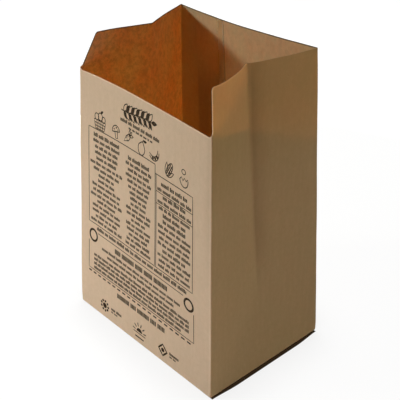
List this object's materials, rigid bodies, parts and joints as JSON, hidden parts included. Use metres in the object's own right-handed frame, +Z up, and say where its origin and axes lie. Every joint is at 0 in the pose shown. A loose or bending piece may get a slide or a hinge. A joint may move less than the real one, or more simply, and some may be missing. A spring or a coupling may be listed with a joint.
{
  "type": "paper bag",
  "caption": "Open block-bottom kraft paper bag with gusseted sides, standing on its own, its front panel cut lower than the rest.",
  "frame": {"origin": "middle of the bottom, on the face that the bag stands on", "axes": "+Z up, towards the mouth; -Y is the printed front panel with the lower cut edge; X runs from gusset to gusset"},
  "size_m": [0.2168, 0.1619, 0.2886],
  "materials": {
    "kraft_paper": "uncoated brown kraft, matt"
  },
  "bodies": {
    "root": {"paper_bag": "kraft_paper"}
  },
  "joints": []
}
